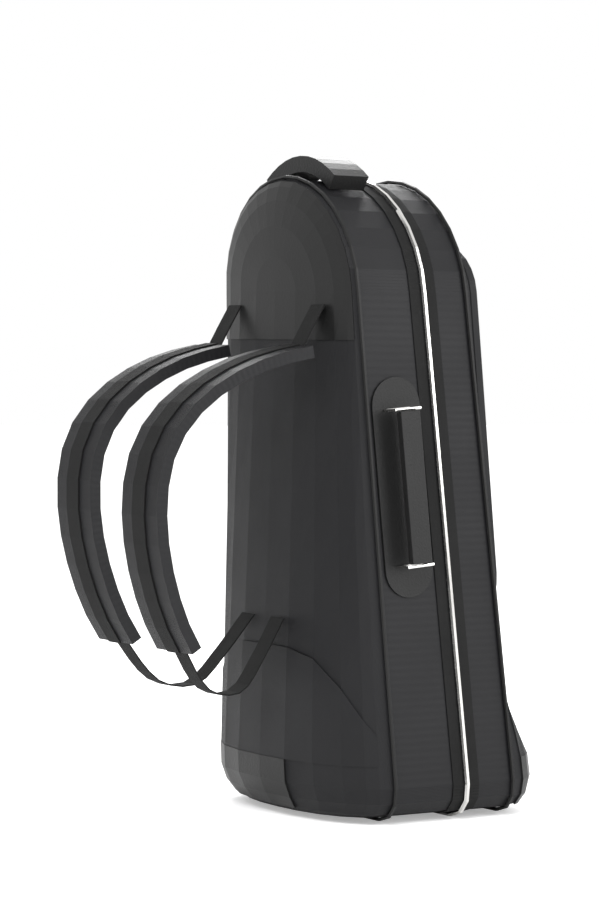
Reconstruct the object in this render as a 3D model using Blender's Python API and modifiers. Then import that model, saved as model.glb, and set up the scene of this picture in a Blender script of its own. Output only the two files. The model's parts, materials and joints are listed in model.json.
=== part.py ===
"""Backpack case for a baritone horn: two soft shells joined by a zip, with pocket, handles and shoulder straps.

Metres, +Z up. The strap face looks towards -Y, the pocket towards +Y, the side handle towards +X.
The origin lies on the flat underside of the strap-side shell, 45 mm behind the zip line.
"""
import math

import bmesh
import bpy
import numpy as np
from mathutils import Matrix, Vector
from mathutils.bvhtree import BVHTree

# Clearances
GAP = 0.0003
PATCH_LIFT = 0.0009
RUN = 0.0004

# Case outline, seen from the strap side
HEIGHT = 0.700
SPRING_HEIGHT = 0.575
SPRING_HALF_WIDTH = 0.130
BASE_HALF_WIDTH = 0.155
CORNER_RADIUS = 0.035

# Case side profile: where the three edges stand at the base, and how far each leans back at the top
REAR_EDGE_Y = -0.051
ZIP_Y = 0.045
FRONT_EDGE_Y = 0.109
REAR_LEAN = 0.055
ZIP_LEAN = 0.067
FRONT_LEAN = 0.075

# Domed strap face and bell bulges
DOME_TOP = 0.020
DOME_BASE = 0.080
DOME_POWER = 2.5
REAR_TUCK = 0.025
FRONT_BULGE = 0.072
FRONT_SHOULDER_HEIGHT = 0.165
FRONT_CREST_HEIGHT = 0.045
FRONT_TUCK = 0.022
TUCK_HEIGHT = 0.050

# Seams on the strap face
YOKE_SEAM_HEIGHT = 0.522
BELL_SEAM_HEIGHT = 0.184
BELL_SEAM_DROP = 0.100
BELL_SEAM_POWER = 4.3
BASE_SEAM_HEIGHT = 0.060
HEM_HEIGHT = 0.018

# Shell build
SHELL_WALL = 0.005
SKIN = 0.0012
LEATHER = 0.0018
PIPING_RADIUS = 0.0022
PATCH_INSIDE_SHARE = 0.309
ARCH_STEPS = 16

# Zip
TAPE_WIDTH = 0.014
TAPE_THICKNESS = 0.0010
CHAIN_HALF_WIDTH = 0.0032
CHAIN_THICKNESS = 0.0022
SLIDER_LENGTH = 0.0125
SLIDER_WIDTH = 0.0130
SLIDER_THICKNESS = 0.0040
UPPER_SLIDER_HEIGHT = 0.375
SLIDER_PITCH = 0.0145
PULL_LENGTH = 0.027
PULL_WIDTH = 0.0100
PULL_THICKNESS = 0.0015
BAIL_WIRE = 0.0007
UPPER_PULL_TILT = 24.0
LOWER_PULL_TILT = 4.0
HINGE_AXIS_OUT = 0.0035
HINGE_STRIP_HALF = 0.012

# Feet and tag
FOOT_RADIUS = 0.0095
FOOT_HEIGHT = 0.0065
FOOT_X = 0.072
REAR_FOOT_Y = -0.038
FRONT_FOOT_Y = 0.085
TAG_WIDTH = 0.013
TAG_LENGTH = 0.033
TAG_THICKNESS = 0.0010
TAG_HEIGHT = 0.160

# Pocket on the front face
POCKET_HALF_WIDTH = 0.113
POCKET_BOTTOM = 0.207
POCKET_TOP = 0.628
POCKET_TOP_RADIUS = 0.052
POCKET_BOTTOM_RADIUS = 0.030
POCKET_TRAY_DEPTH = 0.019
POCKET_COVER_DEPTH = 0.011
POCKET_WALL = 0.0020

# Metal rings and the leather keepers that hold them
RING_WIRE = 0.0016
RING_WIDTH = 0.0330
RING_REACH = 0.0200
KEEPER_LENGTH = 0.0240
KEEPER_WALL = 0.0020
PLATE = 0.0022

# Side handle
SIDE_PATCH_HEIGHT = 0.3625
SIDE_PATCH_LENGTH = 0.241
SIDE_PATCH_WIDTH = 0.063
SIDE_RING_SPAN = 0.170
SIDE_RING_DROOP = 20.0
SIDE_WRAP_LENGTH = 0.134
WRAP_WIDTH = 0.036
WRAP_THICKNESS = 0.017
HANDLE_WEB_WIDTH = 0.025
HANDLE_WEB_THICKNESS = 0.0030

# Top handle
TOP_PATCH_ANGLE = 27.0
TOP_PATCH_LENGTH = 0.062
TOP_PATCH_WIDTH = 0.046
TOP_WRAP_HALF = 0.050
TOP_WRAP_WIDTH = 0.046
TOP_WRAP_THICKNESS = 0.018
TOP_WRAP_RISE = 0.008

# Shoulder straps: side profile as points (y, z), and the sideways place of each end
STRAP_RING_X = 0.085
STRAP_LOCK_X = 0.063
LOWER_RING_X = 0.030
UPPER_RING_HEIGHT = 0.563
UPPER_RING_REACH = 0.024
UPPER_RING_DROOP = 26.0
LOWER_RING_HEIGHT = 0.222
LOWER_RING_REACH = 0.020
LOWER_RING_DROOP = 35.0
PAD_LINE = (
    (-0.146, 0.509),
    (-0.198, 0.497),
    (-0.250, 0.474),
    (-0.290, 0.443),
    (-0.315, 0.405),
    (-0.3245, 0.360),
    (-0.322, 0.312),
    (-0.311, 0.265),
    (-0.294, 0.222),
    (-0.275, 0.190),
)
UPPER_WEB_LINE = ((-0.1165, 0.560), (-0.131, 0.536), (-0.1454, 0.5107))
LOWER_WEB_LINE = (
    (-0.2747, 0.1896),
    (-0.2500, 0.1550),
    (-0.2260, 0.1385),
    (-0.1900, 0.1395),
    (-0.1600, 0.1720),
    (-0.1285, 0.2150),
)
PAD_WIDTH = 0.074
PAD_THICKNESS = 0.013
PAD_EDGE = 0.004
STRAP_WEB_WIDTH = 0.0255
STRAP_WEB_THICKNESS = 0.0016
BUCKLE_AT = (-0.2035, 0.5245)
BUCKLE_SLOPE = 27.0
BUCKLE_LENGTH = 0.020
BUCKLE_WIDTH = 0.036
BUCKLE_WIRE = 0.0014
LOCK_AT = (-0.3105, 0.205)
LOCK_SLOPE = 72.0
LOCK_LENGTH = 0.024
GLIDE_AT = (-0.226, 0.1385)
GLIDE_SLOPE = 30.0
GLIDE_LENGTH = 0.020
TAIL_END = (-0.246, 0.124)
LOWER_WEB_LOW = (-0.190, 0.1395)
LOWER_PATCH_TOP = 0.252
LOWER_PATCH_BOTTOM = 0.189
LOWER_PATCH_HALF = 0.064


def clear_scene():
    for item in list(bpy.data.objects):
        bpy.data.objects.remove(item, do_unlink=True)


def collection(name):
    made = bpy.data.collections.new(name)
    bpy.context.scene.collection.children.link(made)
    return made


clear_scene()
PARTS = collection("baritone_case")
CUTTERS = collection("cutters")


def material(name, color, roughness, metallic=0.0):
    made = bpy.data.materials.new(name)
    made.use_nodes = True
    shader = made.node_tree.nodes["Principled BSDF"]
    shader.inputs["Base Color"].default_value = (*color, 1.0)
    shader.inputs["Roughness"].default_value = roughness
    shader.inputs["Metallic"].default_value = metallic
    made.diffuse_color = (*color, 1.0)
    return made


NYLON = material("satin_nylon", (0.018, 0.018, 0.021), 0.55)
SMOOTH_LEATHER = material("smooth_leather", (0.030, 0.030, 0.031), 0.38)
GRAIN_LEATHER = material("grained_leather", (0.024, 0.024, 0.025), 0.45)
WEBBING = material("ribbed_webbing", (0.014, 0.014, 0.014), 0.80)
PLUSH = material("plush_lining", (0.035, 0.035, 0.040), 0.95)
PIPING = material("piping", (0.020, 0.020, 0.020), 0.40)
TAPE = material("zip_tape", (0.016, 0.016, 0.016), 0.75)
CHROME = material("nickel", (0.72, 0.71, 0.69), 0.18, 1.0)
LABEL = material("woven_label", (0.30, 0.05, 0.07), 0.85)


def link(name, mesh, mat):
    made = bpy.data.objects.new(name, mesh)
    PARTS.objects.link(made)
    mesh.materials.append(mat)
    return made


def mesh_object(name, bm, mat, smooth=True):
    mesh = bpy.data.meshes.new(name)
    bm.to_mesh(mesh)
    bm.free()
    if smooth:
        mesh.shade_smooth()
    return link(name, mesh, mat)


def thicken(item, inner, outer):
    """Make a closed solid between two distances along the surface's own normals."""
    solid = item.modifiers.new("layer", "SOLIDIFY")
    solid.thickness = outer - inner
    solid.offset = (outer + inner) / (outer - inner)
    solid.use_even_offset = True
    solid.use_quality_normals = True


def evaluated_copy(item):
    graph = bpy.context.evaluated_depsgraph_get()
    return bpy.data.meshes.new_from_object(item.evaluated_get(graph), depsgraph=graph)


def as_mesh(item):
    """Turn a curve object into a welded mesh object of the same name."""
    mesh = evaluated_copy(item)
    name = item.name
    mats = [slot for slot in item.data.materials]
    world = item.matrix_world.copy()
    bpy.data.objects.remove(item, do_unlink=True)
    bm = bmesh.new()
    bm.from_mesh(mesh)
    bmesh.ops.remove_doubles(bm, verts=bm.verts, dist=1e-5)
    bmesh.ops.recalc_face_normals(bm, faces=bm.faces)
    bm.to_mesh(mesh)
    bm.free()
    mesh.materials.clear()
    made = link(name, mesh, mats[0])
    made.matrix_world = world
    return made


def combine(item, tool, operation):
    """Join or cut with a closed mesh, then put the tool away among the cutters."""
    step = item.modifiers.new(operation.lower(), "BOOLEAN")
    step.operation = operation
    step.solver = "EXACT"
    step.object = tool
    for held in list(tool.users_collection):
        held.objects.unlink(tool)
    CUTTERS.objects.link(tool)
    tool.hide_render = True
    tool.display_type = "WIRE"


def tube(name, points, radius, mat, cyclic=False, sides=6):
    curve = bpy.data.curves.new(name, "CURVE")
    curve.dimensions = "3D"
    curve.bevel_depth = radius
    curve.bevel_resolution = (sides - 4) // 2
    curve.use_fill_caps = not cyclic
    curve.twist_mode = "MINIMUM"
    line = curve.splines.new("POLY")
    line.points.add(len(points) - 1)
    for place, point in zip(line.points, points):
        place.co = (*point, 1.0)
    line.use_cyclic_u = cyclic
    curve.materials.append(mat)
    made = bpy.data.objects.new(name, curve)
    PARTS.objects.link(made)
    return made


def plate(name, outlines, thickness, frame, mat, rim=0.0):
    """A flat piece from closed outlines in the frame's X and Y, centred on its Z."""
    curve = bpy.data.curves.new(name, "CURVE")
    curve.dimensions = "2D"
    curve.fill_mode = "BOTH"
    curve.extrude = thickness / 2
    for outline in outlines:
        line = curve.splines.new("POLY")
        line.points.add(len(outline) - 1)
        for place, point in zip(line.points, outline):
            place.co = (point[0], point[1], 0.0, 1.0)
        line.use_cyclic_u = True
    curve.materials.append(mat)
    made = bpy.data.objects.new(name, curve)
    PARTS.objects.link(made)
    made.matrix_world = frame
    bpy.context.view_layer.update()
    made = as_mesh(made)
    if rim:
        edge = made.modifiers.new("rim", "BEVEL")
        edge.width = rim
        edge.segments = 1
        edge.limit_method = "ANGLE"
        edge.angle_limit = math.radians(60)
    return made


def arc(cx, cy, radius, start, end, steps):
    """Points on a circle from one angle to another, in degrees."""
    turns = np.radians(np.linspace(start, end, steps + 1))
    return [(cx + radius * math.cos(t), cy + radius * math.sin(t)) for t in turns]


def rounded_box(half_x, half_y, radius, steps=3):
    points = []
    for sx, sy, start in ((1, 1, 0), (-1, 1, 90), (-1, -1, 180), (1, -1, 270)):
        points += arc(sx * (half_x - radius), sy * (half_y - radius), radius, start, start + 90, steps)
    return points


def frame_from(origin, x_axis, z_axis):
    """A placing matrix with the given X and Z directions."""
    z = Vector(z_axis).normalized()
    x = Vector(x_axis)
    x = (x - x.dot(z) * z).normalized()
    y = z.cross(x)
    made = Matrix((x, y, z)).transposed().to_4x4()
    made.translation = Vector(origin)
    return made


def smooth_line(points, steps):
    """Points on a smooth curve through the given ones, evenly spaced along it."""
    pts = np.array(points, float)
    ends = np.vstack([2 * pts[0] - pts[1], pts, 2 * pts[-1] - pts[-2]])
    fine = []
    for a, b, c, d in zip(ends, ends[1:], ends[2:], ends[3:]):
        for t in np.linspace(0, 1, 20, endpoint=False):
            fine.append(0.5 * (2 * b + (c - a) * t + (2 * a - 5 * b + 4 * c - d) * t**2
                               + (3 * b - a - 3 * c + d) * t**3))
    fine.append(pts[-1])
    fine = np.array(fine)
    run = np.concatenate([[0], np.cumsum(np.linalg.norm(np.diff(fine, axis=0), axis=1))])
    at = np.linspace(0, run[-1], steps + 1)
    return np.column_stack([np.interp(at, run, fine[:, k]) for k in range(pts.shape[1])])


# The case outline and its three edges


def half_width(z):
    """Half the case's width at a height: tapering sides, elliptical arch, rounded base corners."""
    if z > SPRING_HEIGHT:
        rise = min((z - SPRING_HEIGHT) / (HEIGHT - SPRING_HEIGHT), 1.0)
        return SPRING_HALF_WIDTH * math.sqrt(1 - rise * rise)
    wide = BASE_HALF_WIDTH + (SPRING_HALF_WIDTH - BASE_HALF_WIDTH) * z / SPRING_HEIGHT
    tuck = max(0.0, (CORNER_RADIUS - z) / CORNER_RADIUS)
    return wide - CORNER_RADIUS * (1 - math.sqrt(max(0.0, 1 - tuck * tuck)))


def rear_edge(z):
    return REAR_EDGE_Y - REAR_LEAN * z / HEIGHT


def zip_line(z):
    return ZIP_Y - ZIP_LEAN * z / HEIGHT


def front_edge(z):
    return FRONT_EDGE_Y - FRONT_LEAN * z / HEIGHT


def base_tuck(z, depth):
    low = max(0.0, 1 - z / TUCK_HEIGHT)
    return depth * low * low


def rear_dome(z):
    """Height of the strap face's dome on its centre line: a cone towards the bell, tucked in at the base."""
    rise = max(0.0, (SPRING_HEIGHT - z) / SPRING_HEIGHT)
    return DOME_TOP + (DOME_BASE - DOME_TOP) * rise - base_tuck(z, REAR_TUCK)


def front_dome(z):
    """Height of the front face's bulge over the bell; the face is flat above it."""
    t = (FRONT_SHOULDER_HEIGHT - z) / (FRONT_SHOULDER_HEIGHT - FRONT_CREST_HEIGHT)
    t = min(max(t, 0.0), 1.0)
    return FRONT_BULGE * t * t * (3 - 2 * t) - base_tuck(z, FRONT_TUCK)


REAR = {"edge": rear_edge, "dome": rear_dome, "sign": -1}
FRONT = {"edge": front_edge, "dome": front_dome, "sign": 1}

RINGS = (0.0, PATCH_INSIDE_SHARE, 0.588, 0.809, 0.930, 0.978, 1.0)


def seam_drop(share, weight):
    return -BELL_SEAM_DROP * weight * share**BELL_SEAM_POWER


# Heights of the face's rows, each with the share of the bell seam's curve that it follows
REAR_ROWS = (
    (0.0, 0.0),
    (CORNER_RADIUS * 0.15, 0.0),
    (HEM_HEIGHT, 0.0),
    (CORNER_RADIUS, 0.0),
    (BASE_SEAM_HEIGHT, 0.0),
    ((BASE_SEAM_HEIGHT + BELL_SEAM_HEIGHT) / 2, 0.5),
    (BELL_SEAM_HEIGHT, 1.0),
    (0.250, 0.5),
    (0.340, 0.15),
    (0.430, 0.0),
    (YOKE_SEAM_HEIGHT, 0.0),
    (SPRING_HEIGHT, 0.0),
)
FRONT_ROWS = (
    (0.0, 0.0),
    (CORNER_RADIUS * 0.15, 0.0),
    (HEM_HEIGHT, 0.0),
    (CORNER_RADIUS, 0.0),
    (BASE_SEAM_HEIGHT, 0.0),
    (0.085, 0.0),
    (0.110, 0.0),
    (0.135, 0.0),
    (FRONT_SHOULDER_HEIGHT, 0.0),
    (0.250, 0.0),
    (0.400, 0.0),
    (SPRING_HEIGHT, 0.0),
)
BASE_SEAM_ROW = 4
BELL_SEAM_ROW = 6
YOKE_ROW = 10
SHOULDER_ROW = 8
HEM_ROW = 2


def face_height(side, share, z):
    dome = side["dome"](z) * math.sqrt(max(0.0, 1 - share**DOME_POWER))
    return side["edge"](z) + side["sign"] * dome


def side_point(side, rows, row, share, hand):
    z = rows[row][0] + seam_drop(share, rows[row][1])
    return Vector((hand * share * half_width(z), face_height(side, share, z), z))


def arch_point(side, share, turn):
    """A point of the arch: share runs from the spring line's middle to the edge, turn from 0 to 180."""
    t = math.radians(turn)
    x = SPRING_HALF_WIDTH * share * math.cos(t)
    z = SPRING_HEIGHT + (HEIGHT - SPRING_HEIGHT) * share * math.sin(t)
    dome = side["dome"](SPRING_HEIGHT) * math.sqrt(max(0.0, 1 - share**DOME_POWER))
    return Vector((x, side["edge"](z) + side["sign"] * dome, z))


class FaceGrid:
    """Vertices of one face: horseshoe rings round a middle line, shared by the shell and its skins."""

    def __init__(self, bm, side, rows, first_row, last_row, right_ring, left_ring, arch=False):
        self.bm = bm
        self.faces = []
        self.side = side
        spine = [bm.verts.new(side_point(side, rows, row, 0.0, 1)) for row in range(first_row, last_row + 1)]
        lines = {0: spine}
        for hand, last in ((1, right_ring), (-1, left_ring)):
            for ring in range(1, last + 1):
                lines[hand * ring] = [
                    bm.verts.new(side_point(side, rows, row, RINGS[ring], hand))
                    for row in range(first_row, last_row + 1)
                ]
        self.lines = lines
        order = sorted(lines)
        for left, right in zip(order, order[1:]):
            for k in range(last_row - first_row):
                self.quad(lines[left][k], lines[right][k], lines[right][k + 1], lines[left][k + 1])
        self.arch = {}
        if arch:
            turns = [180 * k / ARCH_STEPS for k in range(ARCH_STEPS + 1)]
            for ring in range(1, right_ring + 1):
                inner = [bm.verts.new(arch_point(side, RINGS[ring], turn)) for turn in turns[1:-1]]
                self.arch[ring] = [lines[ring][-1], *inner, lines[-ring][-1]]
            for k in range(ARCH_STEPS):
                self.quad(spine[-1], self.arch[1][k], self.arch[1][k + 1])
                for ring in range(1, right_ring):
                    low, high = self.arch[ring], self.arch[ring + 1]
                    self.quad(low[k], high[k], high[k + 1], low[k + 1])

    def quad(self, *verts):
        if self.side["sign"] > 0:
            verts = verts[::-1]
        self.faces.append(self.bm.faces.new(verts))

    def edge_loop(self):
        """The outermost vertices, from the base's left corner anticlockwise round to it again."""
        last = max(self.arch)
        base = [self.lines[k][0] for k in sorted(self.lines)]
        return base + self.lines[last][1:] + self.arch[last][1:-1] + self.lines[-last][:0:-1]


def outline_points(rows):
    """The outline in X and Z, in the same order as a face grid's edge loop."""
    last = len(RINGS) - 1
    order = [-k for k in range(last, 0, -1)] + list(range(last + 1))
    points = [(math.copysign(RINGS[abs(k)], k) * half_width(0.0) if k else 0.0, 0.0) for k in order]
    sides = [rows[row][0] + seam_drop(1.0, rows[row][1]) for row in range(1, len(rows))]
    points += [(half_width(z), z) for z in sides]
    turns = [math.pi * k / ARCH_STEPS for k in range(1, ARCH_STEPS)]
    rise = HEIGHT - SPRING_HEIGHT
    points += [(SPRING_HALF_WIDTH * math.cos(t), SPRING_HEIGHT + rise * math.sin(t)) for t in turns]
    points += [(-half_width(z), z) for z in reversed(sides)]
    return points


def grown(points, distance):
    """The closed outline moved outwards by a distance, with mitred corners."""
    pts = np.array(points)
    before = pts - np.roll(pts, 1, axis=0)
    after = np.roll(pts, -1, axis=0) - pts
    normals = []
    for a, b in zip(before, after):
        n1 = np.array((a[1], -a[0])) / np.linalg.norm(a)
        n2 = np.array((b[1], -b[0])) / np.linalg.norm(b)
        mid = n1 + n2
        normals.append(mid / mid.dot(n1))
    return pts + distance * np.array(normals)


def shell_surface(side, rows):
    """The open surface of one half: its face, its side wall and its flat underside, up to the zip."""
    bm = bmesh.new()
    last = len(RINGS) - 1
    grid = FaceGrid(bm, side, rows, 0, len(rows) - 1, last, last, arch=True)
    loop = grid.edge_loop()
    rim = []
    for vert in loop:
        y = zip_line(vert.co.z) + side["sign"] * GAP / 2
        rim.append(bm.verts.new((vert.co.x, y, vert.co.z)))
    for k in range(len(loop)):
        n = (k + 1) % len(loop)
        grid.quad(loop[n], loop[k], rim[k], rim[n])
    bm.normal_update()
    return bm


def make_shell(name, side, rows, inner, outer, mat):
    made = mesh_object(name, shell_surface(side, rows), mat)
    thicken(made, inner, outer)
    return made


def skin(name, side, rows, first_row, last_row, right_ring, left_ring, mat, thickness, arch=False):
    """A layer laid on part of a face, sharing the shell's own vertices."""
    bm = bmesh.new()
    FaceGrid(bm, side, rows, first_row, last_row, right_ring, left_ring, arch)
    made = mesh_object(name, bm, mat)
    thicken(made, GAP, GAP + thickness)
    return made


rear_shell = make_shell("rear_shell", REAR, REAR_ROWS, -SHELL_WALL, 0.0, NYLON)
lid_shell = make_shell("lid_shell", FRONT, FRONT_ROWS, -SHELL_WALL, 0.0, NYLON)

EDGE = len(RINGS) - 2
skin("rear_yoke_panel", REAR, REAR_ROWS, YOKE_ROW, len(REAR_ROWS) - 1, EDGE, EDGE, SMOOTH_LEATHER, SKIN, True)
skin("rear_bell_panel", REAR, REAR_ROWS, BASE_SEAM_ROW, BELL_SEAM_ROW, EDGE, EDGE, NYLON, SKIN)
skin("rear_bell_guard", REAR, REAR_ROWS, 1, BASE_SEAM_ROW, 1, EDGE, GRAIN_LEATHER, LEATHER)
skin("lid_bell_panel", FRONT, FRONT_ROWS, BASE_SEAM_ROW, SHOULDER_ROW, EDGE, EDGE, NYLON, SKIN)
skin("lid_bell_guard", FRONT, FRONT_ROWS, 1, BASE_SEAM_ROW, EDGE, EDGE, GRAIN_LEATHER, LEATHER)


# Bands round the case: zip tapes, and tubes for piping and the zip's chain


def band(name, rows, low_y, high_y, thickness, mat):
    """A closed flat band round the outline, between two depths that follow the case's lean."""
    inner = grown(outline_points(rows), GAP)
    outer = grown(outline_points(rows), GAP + thickness)
    bm = bmesh.new()
    loops = []
    for outline, depth in ((inner, low_y), (inner, high_y), (outer, high_y), (outer, low_y)):
        loops.append([bm.verts.new((x, depth(z), z)) for x, z in outline])
    for k, loop in enumerate(loops):
        other = loops[(k + 1) % 4]
        for a in range(len(loop)):
            b = (a + 1) % len(loop)
            bm.faces.new((loop[a], loop[b], other[b], other[a]))
    bmesh.ops.recalc_face_normals(bm, faces=bm.faces)
    return mesh_object(name, bm, mat, smooth=False)


def edge_tube(name, rows, depth, radius, mat):
    outline = grown(outline_points(rows), GAP + radius)
    return tube(name, [(x, depth(z), z) for x, z in outline], radius, mat, cyclic=True)


edge_tube("rear_piping", REAR_ROWS, rear_edge, PIPING_RADIUS, PIPING)
edge_tube("lid_piping", FRONT_ROWS, front_edge, PIPING_RADIUS, PIPING)
TAPE_START = CHAIN_HALF_WIDTH + GAP
edge_tube("zip_chain", REAR_ROWS, zip_line, CHAIN_HALF_WIDTH - GAP, CHROME)
band("rear_zip_tape", REAR_ROWS, lambda z: zip_line(z) - TAPE_START - TAPE_WIDTH,
     lambda z: zip_line(z) - TAPE_START, TAPE_THICKNESS, TAPE)
band("lid_zip_tape", FRONT_ROWS, lambda z: zip_line(z) + TAPE_START,
     lambda z: zip_line(z) + TAPE_START + TAPE_WIDTH, TAPE_THICKNESS, TAPE)

# Pocket on the flat part of the front face
FRONT_SLOPE = FRONT_LEAN / HEIGHT
FRONT_NORMAL = Vector((0, 1, FRONT_SLOPE)).normalized()
POCKET_MIDDLE = (POCKET_TOP + POCKET_BOTTOM) / 2
POCKET_HALF_HEIGHT = (POCKET_TOP - POCKET_BOTTOM) / 2


def front_frame(z, lift):
    point = Vector((0, front_edge(z), z)) + FRONT_NORMAL * lift
    return frame_from(point, (-1, 0, 0), FRONT_NORMAL)


POCKET_OUTLINE = rounded_box(POCKET_HALF_WIDTH, POCKET_HALF_HEIGHT, POCKET_TOP_RADIUS, 6)
POCKET_INSIDE = rounded_box(POCKET_HALF_WIDTH - POCKET_WALL, POCKET_HALF_HEIGHT - POCKET_WALL,
                            POCKET_TOP_RADIUS - POCKET_WALL, 6)
plate("pocket_gusset", (POCKET_OUTLINE, POCKET_INSIDE), POCKET_TRAY_DEPTH,
      front_frame(POCKET_MIDDLE, GAP + POCKET_TRAY_DEPTH / 2), NYLON)
COVER_LIFT = 2 * GAP + POCKET_TRAY_DEPTH
plate("pocket_cover", (POCKET_OUTLINE,), POCKET_COVER_DEPTH,
      front_frame(POCKET_MIDDLE, COVER_LIFT + POCKET_COVER_DEPTH / 2), NYLON, 0.003)

# Side handle on the flat strap-side wall
SIDE_NORMAL = Vector((1, 0, (BASE_HALF_WIDTH - SPRING_HALF_WIDTH) / SPRING_HEIGHT)).normalized()
SIDE_ALONG = Vector((0, -(REAR_LEAN + ZIP_LEAN) / 2 / HEIGHT, 1))
SIDE_SHIFT = -0.006


def side_frame(z, lift):
    y = (rear_edge(z) + zip_line(z)) / 2 + SIDE_SHIFT
    return frame_from(Vector((half_width(z), y, z)) + SIDE_NORMAL * lift, SIDE_ALONG, SIDE_NORMAL)


def loop_at(name, frame, width, reach, lift):
    """A rectangular wire ring standing on a face: its bar lies on the face, its far bar stands off it."""
    low = lift + GAP + RING_WIRE
    corners = [(-width / 2, low), (width / 2, low), (width / 2, low + reach), (-width / 2, low + reach)]
    return tube(name, [frame @ Vector((0, y, z)) for y, z in corners], RING_WIRE, CHROME, cyclic=True)


plate("side_handle_patch", (rounded_box(SIDE_PATCH_LENGTH / 2, SIDE_PATCH_WIDTH / 2,
      SIDE_PATCH_WIDTH / 2 - 0.0002, 8),), PLATE, side_frame(SIDE_PATCH_HEIGHT, GAP + PLATE / 2), GRAIN_LEATHER)
SIDE_TOP = side_frame(SIDE_PATCH_HEIGHT + SIDE_RING_SPAN / 2, 0)
SIDE_LOW = side_frame(SIDE_PATCH_HEIGHT - SIDE_RING_SPAN / 2, 0)
loop_at("side_ring_upper", SIDE_TOP, RING_WIDTH, RING_REACH, GAP + PLATE)
loop_at("side_ring_lower", SIDE_LOW, RING_WIDTH, RING_REACH, GAP + PLATE)
HANDLE_LIFT = 2 * GAP + PLATE + RING_WIRE + RING_REACH
HANDLE_HALF = SIDE_RING_SPAN / 2 - RING_WIRE - GAP
plate("side_handle", (rounded_box(HANDLE_HALF, HANDLE_WEB_WIDTH / 2, 0.003),), WRAP_THICKNESS / 2,
      side_frame(SIDE_PATCH_HEIGHT, HANDLE_LIFT), GRAIN_LEATHER, 0.002)


def sweep(name, points, width, thickness, mat, lift=0.0):
    """A flat closed strip along a line of points, its width lying along X."""
    pts = np.array(points, float)
    bm = bmesh.new()
    sections = []
    for k, point in enumerate(pts):
        way = pts[min(k + 1, len(pts) - 1)] - pts[max(k - 1, 0)]
        normal = np.array((0.0, -way[2], way[1]))
        normal /= np.linalg.norm(normal)
        section = []
        for sx, sn in ((-1, -1), (1, -1), (1, 1), (-1, 1)):
            place = point + np.array((sx * width / 2, 0, 0)) + normal * (sn * thickness / 2 + lift)
            section.append(bm.verts.new(place))
        sections.append(section)
    for a, b in zip(sections, sections[1:]):
        for k in range(4):
            n = (k + 1) % 4
            bm.faces.new((a[k], a[n], b[n], b[k]))
    bm.faces.new(sections[0][::-1])
    bm.faces.new(sections[-1])
    bmesh.ops.recalc_face_normals(bm, faces=bm.faces)
    return mesh_object(name, bm, mat, smooth=False)


# Top handle over the arch
TOP_MIDDLE_Y = (rear_edge(HEIGHT) + zip_line(HEIGHT)) / 2
turns = np.radians(np.linspace(90 - TOP_PATCH_ANGLE, 90 + TOP_PATCH_ANGLE, 11))
top_line = []
for turn in turns:
    lift = 0.001 + TOP_WRAP_THICKNESS / 2 + TOP_WRAP_RISE * math.sin((turn - turns[0]) / (turns[-1] - turns[0]) * math.pi)
    x = (SPRING_HALF_WIDTH + lift) * math.cos(turn)
    top_line.append((TOP_MIDDLE_Y, x, SPRING_HEIGHT + (HEIGHT - SPRING_HEIGHT + lift) * math.sin(turn)))
handle = sweep("top_handle", [(p[0], p[1], p[2]) for p in top_line], TOP_WRAP_WIDTH, TOP_WRAP_THICKNESS,
               GRAIN_LEATHER)
for vert in handle.data.vertices:
    vert.co = (vert.co.y, vert.co.x, vert.co.z)
handle.data.flip_normals()

# Feet
for name, x, y in (("foot_rear_left", -FOOT_X, REAR_FOOT_Y), ("foot_rear_right", FOOT_X, REAR_FOOT_Y),
                   ("foot_front_left", -FOOT_X, FRONT_FOOT_Y), ("foot_front_right", FOOT_X, FRONT_FOOT_Y)):
    bpy.ops.mesh.primitive_cylinder_add(vertices=20, radius=FOOT_RADIUS, depth=FOOT_HEIGHT,
                                        location=(x, y, -GAP - FOOT_HEIGHT / 2))
    foot = bpy.context.object
    foot.name = name
    foot.data.materials.append(CHROME)

# Shoulder straps
for side, hand in (("left", -1), ("right", 1)):
    line = smooth_line(PAD_LINE, 14)
    share = np.linspace(0, 1, len(line))
    xs = hand * (STRAP_RING_X + (STRAP_LOCK_X - STRAP_RING_X) * share)
    pad = [(x, y, z) for x, (y, z) in zip(xs, line)]
    sweep("strap_pad_" + side, pad, PAD_WIDTH, PAD_THICKNESS, NYLON)
    sweep("strap_pad_webbing_" + side, pad, STRAP_WEB_WIDTH, STRAP_WEB_THICKNESS, WEBBING,
          -(PAD_THICKNESS + STRAP_WEB_THICKNESS) / 2 - GAP)

    upper = [(hand * STRAP_RING_X, y, z) for y, z in smooth_line(UPPER_WEB_LINE, 4)]
    sweep("strap_upper_webbing_" + side, upper, STRAP_WEB_WIDTH, STRAP_WEB_THICKNESS, WEBBING)
    low = smooth_line(LOWER_WEB_LINE, 14)
    share = np.linspace(0, 1, len(low))
    xs = hand * (STRAP_LOCK_X + (LOWER_RING_X - STRAP_LOCK_X) * share)
    sweep("strap_lower_webbing_" + side, [(x, y, z) for x, (y, z) in zip(xs, low)], STRAP_WEB_WIDTH,
          STRAP_WEB_THICKNESS, WEBBING)
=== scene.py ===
"""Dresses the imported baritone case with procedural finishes, on a white stage at the photograph's angle."""
import json
import math

import bpy
from mathutils import Matrix, Vector

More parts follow.
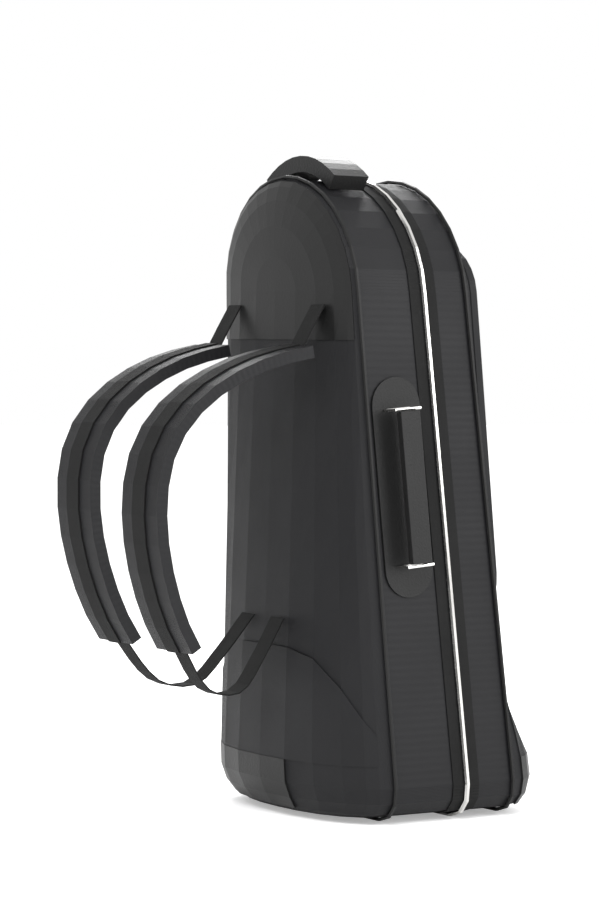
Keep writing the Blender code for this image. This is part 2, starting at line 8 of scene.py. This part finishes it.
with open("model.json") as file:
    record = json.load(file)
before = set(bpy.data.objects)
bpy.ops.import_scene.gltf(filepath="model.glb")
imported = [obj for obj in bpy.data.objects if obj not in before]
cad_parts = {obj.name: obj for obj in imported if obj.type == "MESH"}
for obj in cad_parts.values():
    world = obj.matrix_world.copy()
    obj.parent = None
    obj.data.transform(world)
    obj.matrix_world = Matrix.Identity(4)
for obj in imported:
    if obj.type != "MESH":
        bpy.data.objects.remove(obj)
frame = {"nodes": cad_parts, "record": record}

bl_info = {
    "name": "Baritone Case",
    "version": (1, 0, 0),
    "blender": (4, 5, 0),
    "location": "View3D > Sidebar > Case",
    "description": "Dresses the baritone case and sets its stage",
    "category": "Object",
}

PICTURE_WIDTH = 599
PICTURE_HEIGHT = 900
STRAP_FACE_OFFSET = -0.016

# Each record slot: colour, roughness, metallic, relief scale, relief kind, relief strength
FINISHES = {
    "nylon": ("nylon", 0.50, 0, 900, "weave", 0.35),
    "leather": ("leather", 0.42, 0, 420, "grain", 0.80),
    "smooth": ("leather", 0.36, 0, 260, "grain", 0.25),
    "webbing": ("webbing", 0.80, 0, 260, "weave", 0.90),
    "tape": ("webbing", 0.75, 0, 420, "weave", 0.80),
    "piping": ("leather", 0.40, 0, 300, "grain", 0.30),
    "nickel": ("metal", 0.18, 1, 60, "grain", 0.05),
}
SPECULAR_LEVEL = 0.25
WEAVE_DISTORTION = 0.6
WEAR_SCALE = 14
WEAR_SPREAD = 0.08
LEAST_ROUGHNESS = 0.05
RELIEF_DEPTH = 0.0004

# Lamps: name, place, power, size
LAMPS = (
    ("key", (1.6, -1.6, 2.2), 60, 1.4),
    ("fill", (2.4, 1.2, 1.2), 30, 1.6),
    ("back", (-1.6, 0.8, 1.8), 30, 1.2),
)
CASE_MIDDLE = Vector((0, -0.05, 0.35))
FLOOR_SIZE = 30
FLOOR_GAP = 0.0003
FLOOR_ROUGHNESS = 0.9
FLOOR_GLOW = 0.35
WORLD_STRENGTH = 1.0
WHITE = (1, 1, 1, 1)


class CaseColors(bpy.types.PropertyGroup):
    nylon: bpy.props.FloatVectorProperty(name="Nylon", description="Colour of the main fabric", subtype="COLOR",
                                         size=3, min=0, max=1, default=(0.006, 0.006, 0.007))
    leather: bpy.props.FloatVectorProperty(name="Leather", description="Colour of the leather panels",
                                           subtype="COLOR", size=3, min=0, max=1, default=(0.009, 0.009, 0.009))
    webbing: bpy.props.FloatVectorProperty(name="Webbing", description="Colour of webbing and zip tape",
                                           subtype="COLOR", size=3, min=0, max=1, default=(0.004, 0.004, 0.004))
    metal: bpy.props.FloatVectorProperty(name="Metal", description="Colour of rings, feet and zip",
                                         subtype="COLOR", size=3, min=0, max=1, default=(0.72, 0.71, 0.69))


class StageSizes(bpy.types.PropertyGroup):
    camera_angle: bpy.props.FloatProperty(name="Camera Angle", description="Camera's turn from the strap face",
                                          default=math.radians(55.8627), subtype="ANGLE")
    camera_distance: bpy.props.FloatProperty(name="Camera Distance", description="Distance from the case's axis",
                                             default=3.5132, unit="LENGTH")
    camera_height: bpy.props.FloatProperty(name="Camera Height", description="Height above the case's underside",
                                           default=0.5104, unit="LENGTH")
    camera_yaw: bpy.props.FloatProperty(name="Camera Yaw", description="Camera's turn off the case's axis",
                                        default=math.radians(0.912), subtype="ANGLE")
    camera_pitch: bpy.props.FloatProperty(name="Camera Pitch", description="How far the camera looks down",
                                          default=math.radians(1.8387), subtype="ANGLE")
    camera_roll: bpy.props.FloatProperty(name="Camera Roll", description="The camera's roll",
                                         default=math.radians(0.7436), subtype="ANGLE")
    focal_length: bpy.props.FloatProperty(name="Focal Length", description="Lens over a 36 mm high sensor",
                                          default=124.36, min=1)


def node_material(name, color, roughness, metallic, scale, kind, strength):
    """A Principled material with a fine procedural relief, a weave or a grain, and uneven wear."""
    made = bpy.data.materials.new(name)
    made.use_nodes = True
    tree = made.node_tree
    shader = tree.nodes["Principled BSDF"]
    shader.inputs["Base Color"].default_value = (*color, 1)
    shader.inputs["Metallic"].default_value = metallic
    shader.inputs["Specular IOR Level"].default_value = SPECULAR_LEVEL
    place = tree.nodes.new("ShaderNodeTexCoord")
    if kind == "weave":
        relief = tree.nodes.new("ShaderNodeTexWave")
        relief.inputs["Distortion"].default_value = WEAVE_DISTORTION
    else:
        relief = tree.nodes.new("ShaderNodeTexNoise")
    relief.inputs["Scale"].default_value = scale
    tree.links.new(place.outputs["Object"], relief.inputs["Vector"])
    wear = tree.nodes.new("ShaderNodeTexNoise")
    wear.inputs["Scale"].default_value = WEAR_SCALE
    tree.links.new(place.outputs["Object"], wear.inputs["Vector"])
    spread = tree.nodes.new("ShaderNodeMapRange")
    spread.inputs["To Min"].default_value = max(roughness - WEAR_SPREAD, LEAST_ROUGHNESS)
    spread.inputs["To Max"].default_value = min(roughness + WEAR_SPREAD, 1.0)
    tree.links.new(wear.outputs["Fac"], spread.inputs["Value"])
    tree.links.new(spread.outputs["Result"], shader.inputs["Roughness"])
    bump = tree.nodes.new("ShaderNodeBump")
    bump.inputs["Strength"].default_value = strength
    bump.inputs["Distance"].default_value = RELIEF_DEPTH
    tree.links.new(relief.outputs["Fac"], bump.inputs["Height"])
    tree.links.new(bump.outputs["Normal"], shader.inputs["Normal"])
    return made


class CASE_OT_finishes(bpy.types.Operator):
    """Give every piece of the case its finish"""
    bl_idname = "case.finishes"
    bl_label = "Apply Finishes"

    def execute(self, context):
        look = context.scene.case_colors
        made = {
            slot: node_material(slot, getattr(look, color), *values)
            for slot, (color, *values) in FINISHES.items()
        }
        for row in frame["record"]["subparts"]:
            piece = frame["nodes"][row["node"]]
            piece.data.materials.clear()
            piece.data.materials.append(made[row["material_slot"]])
        return {"FINISHED"}


def area_light(name, place, energy, size, aim):
    data = bpy.data.lights.new(name, "AREA")
    data.energy = energy
    data.size = size
    lamp = bpy.data.objects.new(name, data)
    bpy.context.scene.collection.objects.link(lamp)
    lamp.location = place
    lamp.rotation_euler = (aim - Vector(place)).to_track_quat("-Z", "Y").to_euler()


class CASE_OT_stage(bpy.types.Operator):
    """Build the floor, the lamps and the camera"""
    bl_idname = "case.stage"
    bl_label = "Build Stage"

    def execute(self, context):
        scene = context.scene
        size = scene.case_stage
        low = min(min(v.co.z for v in piece.data.vertices) for piece in frame["nodes"].values())
        bpy.ops.mesh.primitive_plane_add(size=FLOOR_SIZE, location=(0, 0, low - FLOOR_GAP))
        floor = context.object
        floor.name = "floor"
        white = bpy.data.materials.new("floor")
        white.use_nodes = True
        shader = white.node_tree.nodes["Principled BSDF"]
        shader.inputs["Base Color"].default_value = WHITE
        shader.inputs["Emission Color"].default_value = WHITE
        path = white.node_tree.nodes.new("ShaderNodeLightPath")
        glow = white.node_tree.nodes.new("ShaderNodeMath")
        glow.operation = "MULTIPLY"
        glow.inputs[1].default_value = FLOOR_GLOW
        white.node_tree.links.new(path.outputs["Is Camera Ray"], glow.inputs[0])
        white.node_tree.links.new(glow.outputs["Value"], shader.inputs["Emission Strength"])
        shader.inputs["Roughness"].default_value = FLOOR_ROUGHNESS
        floor.data.materials.append(white)
        for name, place, energy, width in LAMPS:
            area_light(name, place, energy, width, CASE_MIDDLE)
        world = bpy.data.worlds.new("studio")
        scene.world = world
        world.use_nodes = True
        background = world.node_tree.nodes["Background"]
        background.inputs["Color"].default_value = WHITE
        background.inputs["Strength"].default_value = WORLD_STRENGTH
        turn = size.camera_angle + size.camera_yaw
        tilt = size.camera_pitch
        ahead = Vector((-math.sin(turn) * math.cos(tilt), math.cos(turn) * math.cos(tilt), -math.sin(tilt)))
        right = ahead.cross(Vector((0, 0, 1))).normalized()
        up = right.cross(ahead)
        roll = size.camera_roll
        side = right * math.cos(roll) + up * math.sin(roll)
        top = up * math.cos(roll) - right * math.sin(roll)
        data = bpy.data.cameras.new("camera")
        data.lens = size.focal_length
        camera = bpy.data.objects.new("camera", data)
        scene.collection.objects.link(camera)
        camera.matrix_world = Matrix((side, top, -ahead)).transposed().to_4x4()
        camera.location = (size.camera_distance * math.sin(size.camera_angle),
                           -size.camera_distance * math.cos(size.camera_angle) + STRAP_FACE_OFFSET,
                           size.camera_height)
        scene.camera = camera
        scene.render.resolution_x = PICTURE_WIDTH
        scene.render.resolution_y = PICTURE_HEIGHT
        scene.view_settings.view_transform = "Standard"
        return {"FINISHED"}


class CASE_PT_panel(bpy.types.Panel):
    """Lists the case's sizes, colours and steps"""
    bl_label = "Baritone Case"
    bl_space_type = "VIEW_3D"
    bl_region_type = "UI"
    bl_category = "Case"

    def draw(self, context):
        for group in (context.scene.case_colors, context.scene.case_stage):
            for name in group.__annotations__:
                self.layout.prop(group, name)
        for step in (CASE_OT_finishes, CASE_OT_stage):
            self.layout.operator(step.bl_idname)


CLASSES = (CaseColors, StageSizes, CASE_OT_finishes, CASE_OT_stage, CASE_PT_panel)


def register():
    for item in CLASSES:
        bpy.utils.register_class(item)
    bpy.types.Scene.case_colors = bpy.props.PointerProperty(type=CaseColors)
    bpy.types.Scene.case_stage = bpy.props.PointerProperty(type=StageSizes)


def unregister():
    del bpy.types.Scene.case_stage
    del bpy.types.Scene.case_colors
    for item in reversed(CLASSES):
        bpy.utils.unregister_class(item)


def main():
    register()
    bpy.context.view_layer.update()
    bpy.ops.case.finishes()
    bpy.ops.case.stage()


if __name__ == "__main__":
    main()
